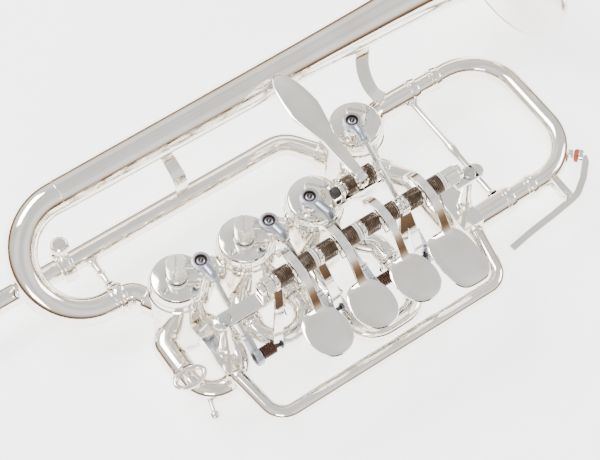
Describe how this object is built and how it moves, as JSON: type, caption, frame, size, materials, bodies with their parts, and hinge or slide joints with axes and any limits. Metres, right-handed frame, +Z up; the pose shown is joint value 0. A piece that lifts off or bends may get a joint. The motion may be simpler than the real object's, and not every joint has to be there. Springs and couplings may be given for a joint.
{
  "type": "rotary valve trumpet",
  "caption": "Small silver rotary trumpet lying flat, with sprung finger keys driving its valves, a flared bell, tuning slides, a water key and a thumb paddle.",
  "frame": {"origin": "under the middle of the whole instrument, level with its lowest point, as it lies on its back", "axes": "+X along the bell towards its mouth, +Y from the finger keys towards the bell, +Z up along the rotor spindles"},
  "size_m": [0.3814, 0.1914, 0.0978],
  "materials": {
    "silver": "polished silver plate",
    "satin_silver": "satin silver plate",
    "steel": "fine machined steel",
    "dark_bronze": "dark spring wire",
    "black_rubber": "matte",
    "red_cork": "matte cork"
  },
  "bodies": {
    "body": {"casing_1": "silver", "casing_2": "silver", "casing_3": "silver", "casing_4": "silver", "cap_1": "silver", "cap_2": "silver", "cap_3": "silver", "cap_4": "silver", "bar_left": "silver", "bar_right": "silver", "stand_left": "silver", "stand_right": "silver", "hand_frame": "silver", "thumb_stand": "silver", "leadpipe": "silver", "receiver": "silver", "bell": "silver", "bell_bow": "silver", "front_leg_upper": "silver", "front_leg_lower": "silver", "receiver_brace": "silver", "front_brace": "silver", "strap_bell": "silver", "strap_front": "silver", "clamp_ring": "silver", "hinge_rod": "satin_silver", "bow_ferrule": "satin_silver", "bar_screw_left": "steel", "bar_screw_right": "steel", "thumb_bumper": "black_rubber"},
    "rotor_1_set": {"rotor_1": "steel", "stop_arm_1": "silver"},
    "key_1": {"lever_1": "silver", "spring_1": "dark_bronze"},
    "link_1_body": {"link_1": "steel"},
    "rotor_2_set": {"rotor_2": "steel", "stop_arm_2": "silver"},
    "key_2": {"lever_2": "silver", "spring_2": "dark_bronze"},
    "link_2_body": {"link_2": "steel"},
    "rotor_3_set": {"rotor_3": "steel", "stop_arm_3": "silver"},
    "key_3": {"lever_3": "silver", "spring_3": "dark_bronze"},
    "link_3_body": {"link_3": "steel"},
    "rotor_4_set": {"rotor_4": "steel", "stop_arm_4": "silver"},
    "key_4": {"lever_4": "silver", "spring_4": "dark_bronze"},
    "link_4_body": {"link_4": "steel"},
    "thumb": {"thumb_key": "silver", "thumb_spring": "dark_bronze"},
    "slide_1_body": {"slide_1": "silver"},
    "slide_2_body": {"slide_2": "silver"},
    "slide_3_body": {"slide_3": "silver"},
    "front_slide_body": {"front_slide": "silver"},
    "water_key_body": {"water_key": "silver", "key_cork": "red_cork"},
    "shank_body": {"shank": "silver"},
    "clamp_knob": {"clamp_screw": "silver"}
  },
  "joints": [
    {"name": "key_1_press", "type": "hinge", "parent": "body", "child": "key_1", "pos_m": [0.0313, -0.0497, 0.0619], "axis": [1, 0, 0], "range_deg": [0, 35.4], "stiffness_Nm_per_rad": 0.04, "springref_deg": -28.65},
    {"name": "rotor_1_turn", "type": "hinge", "parent": "body", "child": "rotor_1_set", "pos_m": [-0.0387, -0.0202, 0.0529], "axis": [0, 0, 1], "range_deg": [0, 90]},
    {"name": "link_1_swing", "type": "hinge", "parent": "key_1", "child": "link_1_body", "pos_m": [-0.0272, -0.0639, 0.0359], "axis": [1, 0, 0], "range_deg": [-30, 0]},
    {"name": "key_2_press", "type": "hinge", "parent": "body", "child": "key_2", "pos_m": [0.0313, -0.0497, 0.0619], "axis": [1, 0, 0], "range_deg": [0, 35.4], "stiffness_Nm_per_rad": 0.04, "springref_deg": -28.65},
    {"name": "rotor_2_turn", "type": "hinge", "parent": "body", "child": "rotor_2_set", "pos_m": [-0.0041, -0.0202, 0.0529], "axis": [0, 0, 1], "range_deg": [0, 90]},
    {"name": "link_2_swing", "type": "hinge", "parent": "key_2", "child": "link_2_body", "pos_m": [0.0111, -0.0639, 0.0359], "axis": [1, 0, 0], "range_deg": [-30, 0]},
    {"name": "key_3_press", "type": "hinge", "parent": "body", "child": "key_3", "pos_m": [0.0313, -0.0497, 0.0619], "axis": [1, 0, 0], "range_deg": [0, 30.7], "stiffness_Nm_per_rad": 0.04, "springref_deg": -28.65},
    {"name": "rotor_3_turn", "type": "hinge", "parent": "body", "child": "rotor_3_set", "pos_m": [0.0323, -0.0202, 0.0529], "axis": [0, 0, 1], "range_deg": [-90, 0]},
    {"name": "link_3_swing", "type": "hinge", "parent": "key_3", "child": "link_3_body", "pos_m": [0.0347, -0.0639, 0.0359], "axis": [1, 0, 0], "range_deg": [-25.1, 0]},
    {"name": "key_4_press", "type": "hinge", "parent": "body", "child": "key_4", "pos_m": [0.0313, -0.0497, 0.0619], "axis": [1, 0, 0], "range_deg": [0, 28.4], "stiffness_Nm_per_rad": 0.04, "springref_deg": -28.65},
    {"name": "rotor_4_turn", "type": "hinge", "parent": "body", "child": "rotor_4_set", "pos_m": [0.0703, 0.0018, 0.0529], "axis": [0, 0, 1], "range_deg": [-90, 0]},
    {"name": "link_4_swing", "type": "hinge", "parent": "key_4", "child": "link_4_body", "pos_m": [0.0633, -0.0639, 0.0359], "axis": [1, 0, 0], "range_deg": [-25, 0]},
    {"name": "thumb_press", "type": "hinge", "parent": "body", "child": "thumb", "pos_m": [0.0503, -0.0287, 0.0629], "axis": [1, 0, 0], "range_deg": [-8, 0], "stiffness_Nm_per_rad": 0.03, "springref_deg": 34.38},
    {"name": "slide_1_pull", "type": "slide", "parent": "body", "child": "slide_1_body", "axis": [0, -1, 0], "range_m": [0, 0.004]},
    {"name": "slide_2_pull", "type": "slide", "parent": "body", "child": "slide_2_body", "axis": [0, -1, 0], "range_m": [0, 0.004]},
    {"name": "slide_3_pull", "type": "slide", "parent": "body", "child": "slide_3_body", "axis": [0, -1, 0], "range_m": [0, 0.004]},
    {"name": "front_slide_pull", "type": "slide", "parent": "body", "child": "front_slide_body", "axis": [1, 0, 0], "range_m": [0, 0.012]},
    {"name": "water_key_press", "type": "hinge", "parent": "front_slide_body", "child": "water_key_body", "pos_m": [0.1413, -0.0682, 0.0189], "axis": [0, 0, 1], "range_deg": [-12, 0], "stiffness_Nm_per_rad": 0.02, "springref_deg": 28.65},
    {"name": "shank_pull", "type": "slide", "parent": "body", "child": "shank_body", "axis": [-1, 0, 0], "range_m": [0, 0.015]},
    {"name": "clamp_screw_turn", "type": "hinge", "parent": "body", "child": "clamp_knob", "pos_m": [-0.0692, 0.031, 0.0269], "axis": [0, 0, 1], "range_deg": [0, 330]}
  ],
  "couplings": [
    {"joint": "rotor_1_turn", "follows": "key_1_press", "ratio": 2.5423},
    {"joint": "link_1_swing", "follows": "key_1_press", "ratio": -0.8344},
    {"joint": "rotor_2_turn", "follows": "key_2_press", "ratio": 2.5423},
    {"joint": "link_2_swing", "follows": "key_2_press", "ratio": -0.8344},
    {"joint": "rotor_3_turn", "follows": "key_3_press", "ratio": -2.9315},
    {"joint": "link_3_swing", "follows": "key_3_press", "ratio": -0.8002},
    {"joint": "rotor_4_turn", "follows": "key_4_press", "ratio": -3.169},
    {"joint": "link_4_swing", "follows": "key_4_press", "ratio": -0.8642}
  ]
}
